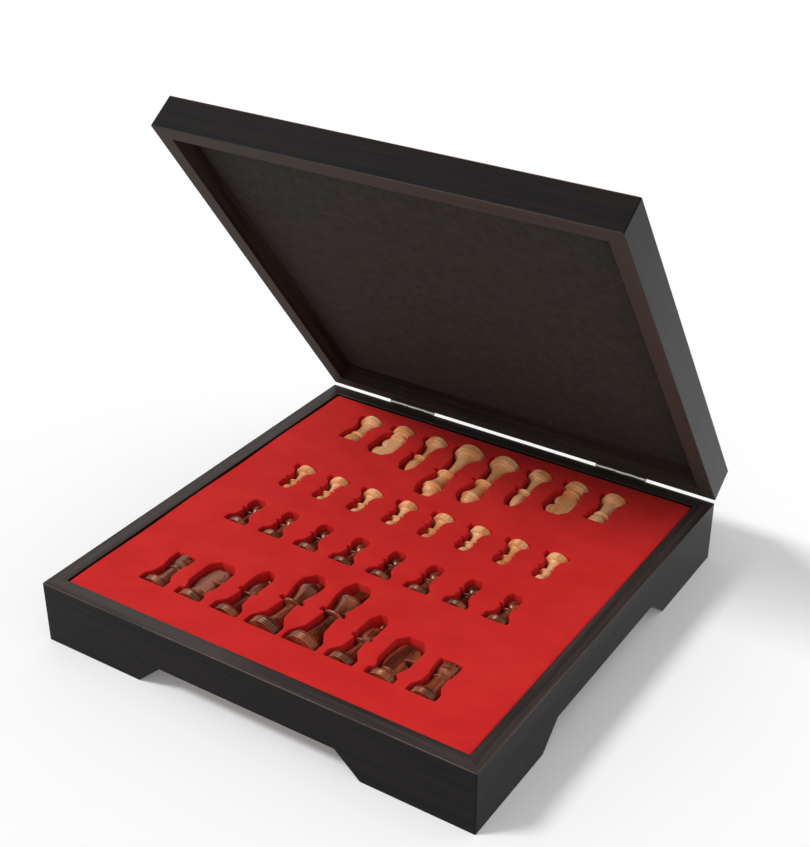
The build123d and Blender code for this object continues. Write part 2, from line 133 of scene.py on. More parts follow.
def lacquered(name, along, rim, rim_colour, place_of=None, back=0.0, edge_highlight_strength=0.15):
    """Black lacquer on a board whose grain runs along one axis; above the rim level it takes the rim's
    colour, and along its outermost millimetre a pale line is painted, a painted highlight of a rounded edge.
    The middle of the case lies at -back along Y. Returns the finish, the grain's streaks, the height, and the
    distance from the middle along X or Y, whichever is more."""
    finish, place = new_finish(
        name, IOR=1.5, Specular_IOR_Level=0.07, Coat_Roughness=0.05, Coat_Weight=0.05
    )
    if place_of:
        place = place_of(place)
    stretch = [170.0] * 3
    stretch[along] = 5.0
    streaks = place.noise(tuple(stretch), detail=6.0, roughness=0.62)
    clouds = place.noise(14.0, detail=2.0)
    pores = place.noise(tuple(4.5 * s for s in stretch), detail=2.0)
    stain = streaks.step(0.35, 0.72).mix(shade(13, 11, 11), shade(28, 22, 21))
    polished = streaks.step(0.3, 0.7).mix(rim_colour, 0.45 * rim_colour)
    across, deep, height = place.part(0), place.part(1) + back, place.part(2)
    edge = height.step(rim - 0.0011, rim - 0.0002)
    colour = (edge * (0.75 + 0.25 * clouds)).mix(stain, polished)
    outer = across.math("ABSOLUTE").math("MAXIMUM", deep.math("ABSOLUTE"))
    # The pale line along the rim's outer edge is a painted highlight of a rounded edge, patchy under the
    # clouds
    painted_edge_highlight = edge * outer.step(half_side - 0.0012, half_side - 0.0003) * clouds.step(0.3, 0.6)
    colour = (edge_highlight_strength * painted_edge_highlight).mix(colour, shade(168, 132, 116))
    dust = place.noise(900.0, detail=1.0).step(0.62, 0.8)
    connect(
        finish,
        (dust * 0.02).mix(colour, shade(150, 140, 130)),
        0.17 + 0.12 * clouds + 0.07 * pores + 0.1 * dust,
        place.noise(260.0, detail=1.0) + 0.35 * pores,
        0.00012,
    )
    return finish, streaks, height, outer


def coat(finish, *names):
    """Gives CAD nodes their finish, in place of the plain one."""
    for name in names:
        nodes[name].data.materials.clear()
        nodes[name].data.materials.append(finish)


half_side = 0.2
base_rim = 0.055
# The base's rim tops are painted this paler grey-brown: a painted reflection of the sky on them
rim_reflection_brown = shade(76, 67, 64)
coat(lacquered("base_lacquer_across", 0, base_rim, rim_reflection_brown)[0], "front_wall", "back_wall")
coat(lacquered("base_lacquer_deep", 1, base_rim, rim_reflection_brown)[0], "right_wall", "left_wall")

# ---------------------------------------------------------------- floor of the base
# A sheet of fibreboard, slid into a groove in the walls before they are glued. It is left raw, so it shows
# the matted fibres of pressed wood.


def fibrous(name, light, dark):
    """Raw fibreboard: short fibres lying every way in the sheet, and darker specks."""
    finish, place = new_finish(name, Specular_IOR_Level=0.25)
    lengthways = place.noise((160.0, 1300.0, 1300.0), detail=4.0)
    sideways = place.noise((1300.0, 160.0, 1300.0), detail=4.0)
    fibres = lengthways.math("MAXIMUM", sideways)
    specks = place.noise(700.0, detail=2.0).step(0.66, 0.76)
    body = fibres.step(0.4, 0.75).mix(dark, light)
    return connect(finish, (0.5 * specks).mix(body, 0.4 * dark), 0.72 + 0.2 * fibres, fibres, 0.00025)


coat(fibrous("raw_fibreboard", shade(176, 138, 98), shade(128, 94, 64)), "base_floor")

# ---------------------------------------------------------------- flocked tray
# One block of foam as wide as the case, moulded with a bed for each man and covered in red velvet flock. The
# lips of the beds are soft, and the top is never quite flat.

Man = namedtuple(
    "Man",
    "height foot foot_height bead neck neck_height collar collar_thickness ring ring_thickness"
    " stem throat head_start head head_height cap",
)
men = {
    "king": Man(88, 15.5, 7.5, 1.6, 6.0, 44.0, 11.3, 2.6, 9.0, 1.6, 7.3, 7.3, 66.5, 11.3, 68.0, 6.8),
    "queen": Man(80, 15.0, 7.2, 1.5, 5.8, 39.5, 11.0, 2.5, 8.6, 1.5, 6.8, 6.8, 61.5, 10.6, 63.0, 3.2),
    "bishop": Man(63, 12.5, 6.0, 1.3, 4.6, 31.0, 8.6, 2.0, 6.8, 1.2, 4.9, 6.4, 38.0, 7.4, 46.0, 2.7),
    "rook": Man(44, 12.25, 5.8, 1.3, 6.9, 27.0, 8.6, 1.8, 7.6, 1.0, 7.2, 7.9, 33.0, 9.4, 35.0, 9.4),
    "pawn": Man(38, 10.75, 5.0, 1.1, 4.4, 20.6, 7.0, 1.6, 5.0, 0.8, 3.9, 3.9, 27.0, 6.4, 31.6, 3.6),
    "knight": Man(52, 12.5, 6.0, 1.3, 8.2, 12.0, 9.6, 1.8, 8.9, 0.6, 8.6, 10.8, 20.0, 12.5, 38.0, 6.0),
}
man_axis, man_pitch, officer_line, pawn_line = 44.0, 36.2, 158.0, 53.0
beds_middle = (-3.5, 8.0)
places = []
for colour, ahead, officers in (
    ("light", -1, "rook_1 knight_1 bishop_1 king queen bishop_2 knight_2 rook_2"),
    ("dark", 1, "rook_1 knight_1 bishop_1 queen king bishop_2 knight_2 rook_2"),
):
    for column, officer in enumerate(officers.split()):
        for name, line in ((officer, officer_line), (f"pawn_{column + 1}", pawn_line)):
            along, deep = beds_middle[0] + (column - 3.5) * man_pitch, beds_middle[1] - ahead * line
            places.append((f"{colour}_{name}", name.split("_")[0], ahead, np.array([along, deep, man_axis])))


def quads(rows, columns, ring=False):
    """Faces of a grid of points counted row by row: each joins two points of a row to two of the next."""
    along = np.arange(columns if ring else columns - 1)
    start = np.arange(rows - 1)[:, None] * columns
    here, beyond = start + along, start + (along + 1) % columns
    return np.stack([here, beyond, beyond + columns, here + columns], -1).reshape(-1, 4)


def even(line, gap, ring=False):
    """Points spaced evenly along a line of points, by linear interpolation over its length."""
    line = np.vstack([line, line[:1]]) if ring else line
    reach = np.concatenate([[0], np.cumsum(np.linalg.norm(np.diff(line, axis=0), axis=1))])
    at = np.linspace(0, reach[-1], int(round(reach[-1] / gap)) + 1)
    spaced = np.stack([np.interp(at, reach, line[:, axis]) for axis in range(line.shape[1])], -1)
    return spaced[:-1] if ring else spaced


def bell(gap, softness):
    """A bell curve over points at even gaps: how many points it reaches on each side, and their weights."""
    reach = int(4 * softness / gap)
    weights = np.exp(-0.5 * (np.arange(-reach, reach + 1) * gap / softness) ** 2)
    return reach, weights / weights.sum()


def soften_ring(line, gap, softness):
    """A closed line with its corners rounded: the average of each point's neighbours under a bell curve."""
    reach, weights = bell(gap, softness)
    return sum(w * np.roll(line, -n, axis=0) for n, w in enumerate(weights, -reach))


def ring_outwards(line):
    """Unit vectors across a closed line that runs counter-clockwise, pointing out of it."""
    ahead = np.roll(line, -1, axis=0) - np.roll(line, 1, axis=0)
    across = np.stack([ahead[:, 1], -ahead[:, 0]], -1)
    return across / np.linalg.norm(across, axis=1)[:, None]


def bed_outline(man, room=0.6):
    """Plan of a man's bed, foot at the origin and head along +Y: his steps with room round them, softened."""
    shoulder = man.foot_height + man.bead
    turn = shoulder + (man.neck_height - shoulder) / 5
    waist = ((man.foot - man.bead + 3 * man.neck) / 4, (shoulder + 2 * turn + man.neck_height) / 4)
    ring_top = man.neck_height + man.collar_thickness + man.ring_thickness
    half = np.array([
        (0, -room),
        (man.foot + room, -room),
        (man.foot + room, shoulder + room),
        (waist[0] + room, waist[1]),
        (man.neck + room, man.neck_height - room),
        (man.collar + room, man.neck_height - room),
        (man.collar + room, ring_top + room),
        (man.throat + room, ring_top + room),
        (man.head + room, man.head_start),
        (man.head + room, (man.head_height + man.height) / 2),
        (man.cap + room, man.height + room),
        (0, man.height + room),
    ])
    half = even(half, 0.25)
    whole = np.vstack([half, half[-2:0:-1] * (-1, 1)])
    softened = soften_ring(whole, 0.25, 0.9)
    half = even(softened[: len(half)], 1.0)
    return np.vstack([half, half[-2:0:-1] * (-1, 1)])


def bed(outline, top, power, lip=0.7, raised=0.5, steps=7):
    """A bed down from the top of the tray: a quarter-round lip, an upright wall to the man's axis, and below
    it half rounds across, each as wide as the outline there: circles where the power is 1, and squarer where
    it is less. Rows go down, and columns go round the outline."""
    out = ring_outwards(outline)
    centre = man_axis + raised
    rows = []
    for turn in np.linspace(0, np.pi / 2, 4):
        spread = outline + lip * (1 - np.sin(turn)) * out
        rows.append(np.column_stack([spread, np.full(len(spread), top - lip * (1 - np.cos(turn)))]))
    rows.append(np.column_stack([outline, np.full(len(outline), (top - lip + centre) / 2)]))
    for turn in np.linspace(0, np.pi / 2, steps):
        depth = centre - np.abs(outline[:, 0]) * np.sin(turn) ** power
        rows.append(np.column_stack([outline[:, 0] * max(np.cos(turn), 0) ** power, outline[:, 1], depth]))
    return np.array(rows)


def swell(points):
    """How the moulded foam rises and sinks, in mm: seven slow waves in fixed directions, as their sum."""
    turns = np.random.default_rng(7).uniform(0, 2 * np.pi, (7, 2))
    waves = [np.sin(points[:, 0] * np.cos(a) / 19 + points[:, 1] * np.sin(a) / 19 + b) for a, b in turns]
    return 0.11 * np.sum(waves, axis=0)


def welded(name, points, faces, reach, numbers=None):
    """Puts a new mesh in the scene: points closer than the reach become one, and faces are turned outwards.
    The numbers say which of its finishes each face has."""
    mesh = bpy.data.meshes.new(name)
    mesh.from_pydata(points.tolist(), [], faces)
    if numbers is not None:
        mesh.polygons.foreach_set("material_index", np.asarray(numbers, np.int32))
    work = bmesh.new()
    work.from_mesh(mesh)
    bmesh.ops.remove_doubles(work, verts=work.verts, dist=reach)
    bmesh.ops.dissolve_degenerate(work, edges=work.edges, dist=reach / 20)
    bmesh.ops.recalc_face_normals(work, faces=work.faces)
    work.to_mesh(mesh)
    work.free()
    piece = bpy.data.objects.new(name, mesh)
    bpy.context.scene.collection.objects.link(piece)
    return piece


def make(name, shells, finishes, body, stands_for, numbers=None, crease=180.0):
    """Makes one piece of shells, each an array of points in mm and lists of faces. Edges sharper than the
    crease stay sharp."""
    points = np.concatenate([p.reshape(-1, 3) for p, _ in shells])
    starts = np.cumsum([0] + [p.size // 3 for p, _ in shells])
    faces = [[int(v) + int(start) for v in face] for (_, fs), start in zip(shells, starts) for face in fs]
    piece = welded(name, points * 0.001, faces, 2e-6, numbers)
    mesh = piece.data
    mesh.polygons.foreach_set("use_smooth", np.ones(len(mesh.polygons), bool))
    if crease < 180:
        mesh.set_sharp_from_angle(angle=radians(crease))
    for finish in finishes:
        mesh.materials.append(finish)
    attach(piece, body)
    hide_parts(*stands_for)
    return piece


def flocked(name, deep, full, pale):
    """Velvet flock: the nap lies this way and that in soft patches, and its fibre ends stand out."""
    finish, place = new_finish(
        name, Specular_IOR_Level=0.15, Sheen_Weight=0.25, Sheen_Roughness=0.5, Sheen_Tint=(1, 0.25, 0.2, 1)
    )
    nap = place.noise((26.0, 40.0, 40.0), detail=3.0)
    fibres = place.noise(3800.0, detail=2.0)
    worn = place.noise(9.0, detail=4.0).step(0.55, 0.8)
    body = (0.6 * nap + 0.4 * fibres).step(0.34, 0.66).mix(deep, full)
    return connect(finish, (0.3 * worn).mix(body, pale), 0.9 - 0.12 * nap, fibres + 0.4 * nap, 0.0002)


red_flock = flocked("red_flock", shade(204, 30, 29), shade(216, 38, 36), shade(222, 52, 46))
tray_top, tray_foot, tray_half, tray_round = 53.5, 25.0, 185.7, 1.6
outlines = {kind: bed_outline(man) for kind, man in men.items()}
shells, holes = [], []
for _, kind, ahead, foot in places:
    grid = bed(outlines[kind], tray_top, 0.5 if kind == "knight" else 1.0)
    grid = np.concatenate([grid[..., :2] * ahead + foot[:2], grid[..., 2:]], -1)
    shells.append((grid, quads(*grid.shape[:2], ring=True)))
    holes.append(grid[0, :, :2])
corners = np.array([(-1, -1), (1, -1), (1, 1), (-1, 1)]) * (tray_half - tray_round)
edge = even(corners, 4.0, ring=True)
out = ring_outwards(edge)
turns = np.linspace(0, np.pi / 2, 5)
spread = [edge + tray_round * sin(a) * out for a in turns] + [edge + tray_round * out] * 3
levels = [tray_top - tray_round * (1 - cos(a)) for a in turns] + [46.0, 35.0, tray_foot]
rows = [np.column_stack([line, np.full(len(edge), level)]) for line, level in zip(spread, levels)]
shells.append((np.array(rows), quads(len(rows), len(edge), ring=True)))
shells.append((rows[-1], [range(len(edge))]))

field = np.stack(np.meshgrid(*[np.arange(-181.0, 182.0, 3.8)] * 2), -1).reshape(-1, 2)
rings = np.concatenate(holes)
clear = np.array([np.min(np.abs(rings - p).max(1)) > 1.5 for p in field])
flat = np.concatenate([edge, rings, field[clear]])
starts = np.cumsum([0, len(edge)] + [len(h) for h in holes])
sheet_points, _, faces, _, _, owners = delaunay_2d_cdt(
    [Vector(p) for p in flat], [], [list(range(a, b)) for a, b in zip(starts, starts[1:])], 1, 1e-5
)
top = np.array([(*p, tray_top) for p in sheet_points])
shells.append((top, [face for face, owner in zip(faces, owners) if owner == [0]]))
for points, _ in shells:
    flatness = np.clip((points[..., 2] - 40) / (tray_top - 40), 0, 1)
    points[..., 2] += swell(points.reshape(-1, 3)).reshape(flatness.shape) * flatness
tray = make("flocked_tray", shells, [red_flock], "base", ["foam_tray"])

# ---------------------------------------------------------------- pawns
# Turned on a lathe from one stick each, with a beaded foot, a hollow body, a collar and a ball. They are
# sanded, which rounds every edge a little, and lacquered: the light men satin, the dark men gloss.


def bend(*pulls, count=24):
    """A Bezier curve: it leaves the first point, is pulled by those between, and ends at the last."""
    share = np.linspace(0, 1, count)[:, None]
    pulls = [np.array(p, float) + 0 * share for p in pulls]
    while len(pulls) > 1:
        pulls = [(1 - share) * a + share * b for a, b in zip(pulls, pulls[1:])]
    return pulls[0]


def arc(centre, radius, start, stop, count=24):
    """Part of a circle, between two angles in degrees from the +X direction."""
    turn = np.radians(np.linspace(start, stop, count))
    return np.array(centre) + radius * np.column_stack([np.cos(turn), np.sin(turn)])


def lower_outline(man):
    """Radius and height from the middle of the foot to the top of the ring under the head: three round beads
    in the foot, a quarter-round shoulder with a thin ring, a hollow flare, a round collar and a flat ring."""
    shoulder, edge = man.foot_height + man.bead, man.foot - man.bead
    collar_top = man.neck_height + man.collar_thickness
    ring_top = collar_top + man.ring_thickness
    round_bead, thin_ring, round_collar = man.foot_height / 6, 0.5, man.collar_thickness / 2
    beads = [arc((man.foot - round_bead, n * round_bead), round_bead, -80, 80) for n in (1, 3, 5)]
    turn = (man.neck, shoulder + (man.neck_height - shoulder) / 5)
    return ring_top, [
        [(0, 0)],
        *beads,
        arc((edge, man.foot_height), man.bead, 0, 90),
        arc((edge - thin_ring, shoulder + thin_ring), thin_ring, -90, 90),
        bend((edge - 1.6, shoulder + 2 * thin_ring), turn, (man.neck, man.neck_height)),
        [(man.collar - round_collar, man.neck_height)],
        arc((man.collar - round_collar, (man.neck_height + collar_top) / 2), round_collar, -90, 90),
        [(man.ring, collar_top), (man.ring, ring_top), (man.stem, ring_top)],
    ]


def lathe(outline, sides=48, sanding=0.22, fineness=0.62):
    """Carries an outline of radius and height round the Y axis. First it is sanded, which averages it under a
    bell curve; then its points are spaced by its length and by how much it turns."""
    gap = 0.08
    line = even(np.concatenate([np.array(part, float) for part in outline]), gap)
    reach, weights = bell(gap, sanding)
    long = np.concatenate([line[reach:0:-1] * (-1, 1), line, line[-2 : -reach - 2 : -1] * (-1, 1)])
    line = np.column_stack([np.convolve(long[:, axis], weights, "valid") for axis in (0, 1)])
    line[[0, -1], 0] = 0
    steps = np.diff(line, axis=0)
    lengths = np.linalg.norm(steps, axis=1)
    heading = np.unwrap(np.arctan2(steps[:, 1], steps[:, 0]))
    effort = np.concatenate([[0], np.cumsum(lengths + 0.75 * np.abs(np.diff(heading, append=heading[-1])))])
    at = np.linspace(0, effort[-1], int(effort[-1] / fineness) + 1)
    radius, height = (np.interp(at, effort, line[:, axis]) for axis in (0, 1))
    turn = np.linspace(0, 2 * np.pi, sides, endpoint=False)
    grid = np.stack([
        radius[:, None] * np.cos(turn), height[:, None] + 0 * turn, radius[:, None] * np.sin(turn)
    ], -1)
    return grid, quads(*grid.shape[:2], ring=True)


def turned_wood(name, dark, middle, light, roughness, gloss, depth):
    """Wood turned along its grain, which runs along Y: fine streaks over broad growth bands, and pores."""
    # The warm specular tint stands in for a warm lamp: it paints the men's reflections tan
    finish, place = new_finish(
        name, Specular_IOR_Level=gloss, Specular_Tint=(1, 0.58, 0.38, 1), Coat_Weight=0.05, Coat_Roughness=0.2
    )
    warp = place.noise((60.0, 9.0, 60.0), detail=2.0)
    across = place.part(0) * 260.0 + place.part(2) * 190.0 + warp * 9.0
    bands = across.math("SINE") * 0.5 + 0.5
    streaks = place.noise((900.0, 26.0, 900.0), detail=5.0, roughness=0.6)
    tone = 0.22 * bands + 0.78 * streaks
    colour = tone.add("ValToRGB", {0: tone}, stops=((0.28, dark), (0.48, middle), (0.72, light)))
    pores = place.noise((2600.0, 90.0, 2600.0), detail=2.0).step(0.6, 0.75)
    open_grain = (pores * depth).mix(colour, 0.35 * dark)
    dullness = roughness + 0.12 * streaks + 0.1 * pores
    return connect(finish, open_grain, dullness, streaks - 0.6 * pores, 0.00006)


woods = {
    "light": turned_wood(
        "light_turned_wood", shade(206, 129, 76), shade(234, 164, 107), shade(250, 201, 154), 0.32, 0.5, 0.3
    ),
    "dark": turned_wood(
        "dark_turned_wood", shade(46, 16, 11), shade(94, 38, 24), shade(160, 82, 52), 0.22, 0.9, 0.5
    ),
}


def set_out(kind, shells, crease=180.0):
    """Makes the men of one kind: each is the same turned shape, laid in its bed at the man's own place."""
    for name, whose, ahead, foot in places:
        if whose == kind:
            laid = [(p * (ahead, ahead, 1) + foot, f) for p, f in shells]
            colour = name.split("_")[0]
            make(f"turned_{name}", laid, [woods[colour]], name, [name], crease=crease)


pawn = men["pawn"]
ring_top, outline = lower_outline(pawn)
ball = pawn.height - pawn.head
meeting = np.degrees(np.arccos(pawn.stem / pawn.head))
outline += [arc((0, ball), pawn.head, -meeting, 90, count=48)]
set_out("pawn", [lathe(outline)])

# ---------------------------------------------------------------- rooks
# Turned like the pawns up to the ring, then a turret with a hollow top. Three saw cuts across the top leave
# six merlons.


def sawn(shell, cutters):
    """Cuts closed blocks out of a turned shape, as a saw does, and returns its points in mm and its faces."""
    made = [
        welded("blank", points.reshape(-1, 3), [list(map(int, face)) for face in faces], 2e-3)
        for points, faces in [shell, *cutters]
    ]
    for cutter in made[1:]:
        cut = made[0].modifiers.new("saw", "BOOLEAN")
        cut.object, cut.operation, cut.solver = cutter, "DIFFERENCE", "EXACT"
    seen = made[0].evaluated_get(bpy.context.evaluated_depsgraph_get())
    mesh = bpy.data.meshes.new_from_object(seen)
    points = np.zeros(len(mesh.vertices) * 3)
    mesh.vertices.foreach_get("co", points)
    faces = [list(face.vertices) for face in mesh.polygons]
    for blank in made:
        bpy.data.meshes.remove(blank.data)
    bpy.data.meshes.remove(mesh)
    return points.reshape(-1, 3), faces


def block(centre, size, turn_y=0.0, turn_z=0.0):
    """A box of that size about its centre, turned about Y and then about Z, in degrees."""
    corners = np.array([(x, y, z) for x in (-0.5, 0.5) for y in (-0.5, 0.5) for z in (-0.5, 0.5)]) * size
    a, b = radians(turn_y), radians(turn_z)
    about_y = np.array([(cos(a), 0, sin(a)), (0, 1, 0), (-sin(a), 0, cos(a))])
    about_z = np.array([(cos(b), -sin(b), 0), (sin(b), cos(b), 0), (0, 0, 1)])
    faces = [(0, 1, 3, 2), (4, 6, 7, 5), (0, 4, 5, 1), (2, 3, 7, 6), (0, 2, 6, 4), (1, 5, 7, 3)]
    return corners @ about_y.T @ about_z.T + np.array(centre), faces


rook = men["rook"]
ring_top, outline = lower_outline(rook)
bore, well, belly, scored = rook.head - 2.8, rook.height - 3.0, 32.0, 38.9
outline += [
    bend((rook.stem, ring_top), (rook.stem, belly), (rook.head - 0.3, rook.head_height)),
    [(rook.head - 0.1, scored - 0.3), (rook.head - 0.5, scored), (rook.head - 0.1, scored + 0.3)],
    [(rook.head, rook.height), (bore, rook.height), (bore, well + 0.6), (bore - 0.8, well), (0, well)],
]
saw_cut = (2.2 * rook.head, 4.4, 2.0)
cuts = [block((0, rook.height, 0), saw_cut, turn_y=turn) for turn in (0, 60, 120)]
set_out("rook", [sawn(lathe(outline, sides=64), cuts)], crease=40.0)

# ---------------------------------------------------------------- knights
# The foot is turned. The horse's head is sawn from a flat board and sanded round at the edges: a deep neck, a
# blunt nose over a wedge cut under the jaw, two small ears, and a drilled eye.


def through(stations, count):
    """A smooth line through stations, by Catmull-Rom: a slope is half the step between the neighbours."""
    stations = np.array(stations, float)
    padded = np.concatenate([2 * stations[:1] - stations[1:2], stations, 2 * stations[-1:] - stations[-2:-1]])
    at = np.linspace(0, len(stations) - 1, count)
    span = np.minimum(at.astype(int), len(stations) - 2)
    t = (at - span)[:, None]
    before, here, after, beyond = (padded[span + n] for n in range(4))
    return 0.5 * (
        2 * here + (after - before) * t
        + (2 * before - 5 * here + 4 * after - beyond) * t**2
        + (3 * here - before - 3 * after + beyond) * t**3
    )


def spot(x, y, centre, reach):
    """A round bump: 1 at its centre, falling as a bell curve with that reach."""
    return np.exp(-0.5 * ((x - centre[0]) ** 2 + (y - centre[1]) ** 2) / reach**2)


def groove(x, y, start, stop, reach):
    """A bell-curve ridge along the straight line between two points."""
    start, stop = np.array(start), np.array(stop)
    run = stop - start
    share = np.clip(((x - start[0]) * run[0] + (y - start[1]) * run[1]) / (run @ run), 0, 1)
    away = (x - start[0] - share * run[0]) ** 2 + (y - start[1] - share * run[1]) ** 2
    return np.exp(-0.5 * away / reach**2)


def horse_head(rows=120, columns=56):
    """Both sides of the head. A point's place across the board goes by a parabola from the mane through the
    middle to the face; the thickness is a flat board with round edges, and the cuts are taken off."""
    mane = [(-6.4, 13.4), (-9.4, 17.6), (-11.2, 21.6), (-12.0, 25.2), (-12.3, 28.2), (-12.4, 31.2),
            (-12.3, 34.6), (-12.1, 37.8), (-11.6, 41), (-10.5, 44.2), (-8.9, 46.9), (-6.8, 49.2),
            (-4.2, 51), (-1.6, 51.9)]
    middle = [(0, 13.4), (0, 17.6), (-0.2, 21.8), (-1.2, 25.4), (-3.2, 28.4), (-4.2, 31), (-1, 34.2),
              (0.8, 37.2), (1.4, 40.6), (0.8, 43.8), (-0.4, 46.7), (-1.2, 49.2), (-1.5, 51), (-1.6, 51.9)]
    face = [(6.4, 13.4), (9.8, 17.6), (11.9, 21.6), (11.2, 25.3), (7.8, 28.5), (4.0, 31.3), (8.6, 33.2),
            (12.0, 35.2), (12.3, 38.9), (11.3, 42.8), (8, 46.4), (4.2, 48.9), (0.9, 50.6), (-1.4, 51.9)]
    left, centre, right = (through(line, rows)[:, None] for line in (mane, middle, face))
    share = (0.5 - 0.5 * np.cos(np.linspace(0, np.pi, columns)))[None, :, None]
    rest = 1 - share
    flat = left * rest * (1 - 2 * share) + centre * 4 * share * rest + right * share * (2 * share - 1)
    x, y = flat[..., 0], flat[..., 1]
    across = np.abs(2 * share[..., 0] - 1)
    board = 5.45 - 0.9 * np.clip((x - 4) / 8, 0, 1) - 2.2 * np.clip((y - 46) / 6, 0, 1) ** 1.5
    thickness = board * (1 - across**7) ** 0.5
    carving = (
        -0.8 * spot(x, y, (4.6, 42.6), 0.5)
        - 0.4 * groove(x, y, (12.4, 37.6), (9.6, 38.2), 0.28)
        - 1.1 * groove(x, y, (-1.4, 47.6), (-1.8, 52.5), 0.6)
        - 0.35 * groove(x, y, (-6.6, 45.6), (-4.6, 50.4), 0.7)
    )
    thickness = np.maximum(thickness + carving * (1 - across**6), 0)
    thickness[:, [0, -1]] = 0
    thickness[-1] = 0
    front, back = (np.dstack([x, y, side * thickness]) for side in (1, -1))
    rim = np.concatenate([front[0], back[0, ::-1]])
    return [(front, quads(rows, columns)), (back, quads(rows, columns)), (rim, [range(len(rim))])]


knight = men["knight"]
ring_top, outline = lower_outline(knight)
set_out("knight", [lathe([*outline, [(0, ring_top)]]), *horse_head()])

# ---------------------------------------------------------------- bishops
# Turned like the pawns, with a pear-shaped mitre and a bead on top. One slanting saw cut opens the mitre.

bishop = men["bishop"]
ring_top, outline = lower_outline(bishop)
neck = bishop.height - 1.9 * bishop.cap
bulge = (bishop.head + 1.1, ring_top + 4.5), (bishop.head + 0.9, 50)
outline += [
    bend((bishop.stem, ring_top), *bulge, (bishop.cap / 2, neck)),
    arc((0, bishop.height - bishop.cap), bishop.cap, -62, 90),
]
mouth, saw_cut = (bishop.head, bishop.head_height + 3.0, 0), (8.0, 1.2, 20.0)
set_out("bishop", [sawn(lathe(outline, sides=64), [block(mouth, saw_cut, turn_z=35.0)])], crease=40.0)

# ---------------------------------------------------------------- queens
# The tallest turning but the king's: a cup-shaped crown with a stepped rim, a dome in it, and a ball on top.


def crown_outline(man, ring_top, dome_top, top):
    """From the ring to the top of the dome: a hollow cup, an upright edge, a turned line and a dome."""
    rim = man.head_height + 1.3
    return [
        bend((man.stem, ring_top), (man.stem, (ring_top + man.head_height) / 2), (man.head, man.head_height)),
        [(man.head, rim), (man.head - 1.2, rim), (man.head - 1.35, rim - 0.35)],
        bend((man.head - 1.7, rim), (man.head - 2.4, dome_top), (top, dome_top)),
    ]


queen = men["queen"]
ring_top, outline = lower_outline(queen)
outline += crown_outline(queen, ring_top, queen.height - 1.9 * queen.cap, queen.cap / 2)
outline += [arc((0, queen.height - queen.cap), queen.cap, -60, 90)]
set_out("queen", [lathe(outline)])

# ---------------------------------------------------------------- kings
# Turned like the queens. A flat tab with an arched top stands on the dome, cut from the same stick.


def plate(outline, thickness, rounding=0.7):
    """A flat plate about the XY plane: a closed outline carried through its thickness, with rounded edges."""
    out = ring_outwards(outline)
    turns = np.linspace(-np.pi / 2, np.pi / 2, 9)
    heights = np.sin(turns) * rounding + np.sign(turns) * (thickness / 2 - rounding)
    rows = [
        np.column_stack([outline - rounding * (1 - np.cos(t)) * out, np.full(len(outline), h)])
        for t, h in zip(turns, heights)
    ]
    grid = np.array(rows)
    ends = [(end, [range(len(outline))]) for end in (grid[0], grid[-1])]
    return [(grid, quads(*grid.shape[:2], ring=True)), *ends]


king = men["king"]
ring_top, outline = lower_outline(king)
dome_top, half_tab, shoulder = king.head_height + 7.3, 3.6, king.height - 2.0
outline += crown_outline(king, ring_top, dome_top, half_tab)
outline += [[(0, dome_top)]]
tab = np.concatenate([
    [(half_tab, dome_top - 5.3)],
    bend((half_tab, dome_top - 1.3), (4.0, 80.0), (king.cap, shoulder), count=10),
    bend((king.cap, shoulder), (3.4, king.height + 0.9), (0, king.height), count=8)[1:],
])
tab = np.concatenate([tab[:1] * (-1, 1), tab, tab[-2:0:-1] * (-1, 1)])
tab = soften_ring(even(tab, 0.4, ring=True), 0.4, 0.45)
tab[:, 1] = np.minimum(tab[:, 1], king.height)
set_out("king", [lathe(outline), *plate(tab, 6.0)])

# ---------------------------------------------------------------- rails of the lid
# Four rails, mitred like the walls of the base and rabbeted inside for the board. They are lacquered outside,
# and their top shows a clear mahogany red. The faces inside the lid and along the seam are only stained.

lid_turn = 54.5
lid_tilt = (-radians(lid_turn), 0.0, 0.0)
hinge_line = (0.0, 0.2021, 0.05515)
wall, rabbet, rail_top = 0.014, 0.0195, 0.030
mahogany = shade(134, 60, 36)


def lid_place(place):
    """The piece's place in the lid's own directions: metres from the hinge line, Z square to the board."""
    return place.add(
        "Mapping", {"Vector": place, "Location": hinge_line, "Rotation": lid_tilt}, vector_type="TEXTURE"
    )


def railed(name, along):
    """The lid's lacquer, but the faces within the walls and below the rabbet, and along the seam, are only
    stained, brown and dull."""
    # The lid's rails get a stronger painted highlight along their outer top edge
    finish, streaks, height, outer = lacquered(
        name, along, rail_top, mahogany, lid_place, hinge_line[1], edge_highlight_strength=0.6
    )
    seam = 1 - height.step(0.0004, 0.0008)
    stain = streaks.step(0.3, 0.7).mix(shade(38, 31, 28), shade(64, 53, 48))
    stain = (0.7 * seam).mix(stain, shade(74, 66, 61))
    dull = stain.add("BsdfPrincipled", {
        "Base Color": stain, "Roughness": 0.5 + 0.2 * streaks, "Specular IOR Level": 0.06
    })
    glossy = Wire(dull.tree, finish.node_tree.nodes["Principled BSDF"].outputs[0])
    within = 1 - outer.step(half_side - wall + 0.0001, half_side - wall + 0.0004)
    inside = within * (1 - height.step(rabbet, rabbet + 0.0005))
    both = dull.add("MixShader", {0: inside.math("MAXIMUM", seam), 1: glossy, 2: dull})
    dull.tree.links.new(both.socket, finish.node_tree.nodes["Material Output"].inputs["Surface"])
    return finish


coat(railed("lid_lacquer_across", 0), "lid_front_rail", "lid_back_rail")
coat(railed("lid_lacquer_deep", 1), "lid_right_rail", "lid_left_rail")

# ---------------------------------------------------------------- board panel and lining
# The panel is fibreboard, glued into the rabbet. Its inner face is lined with one piece of dark felt, cut to
# the rails and stuck down, so it lies flat but for faint ripples.

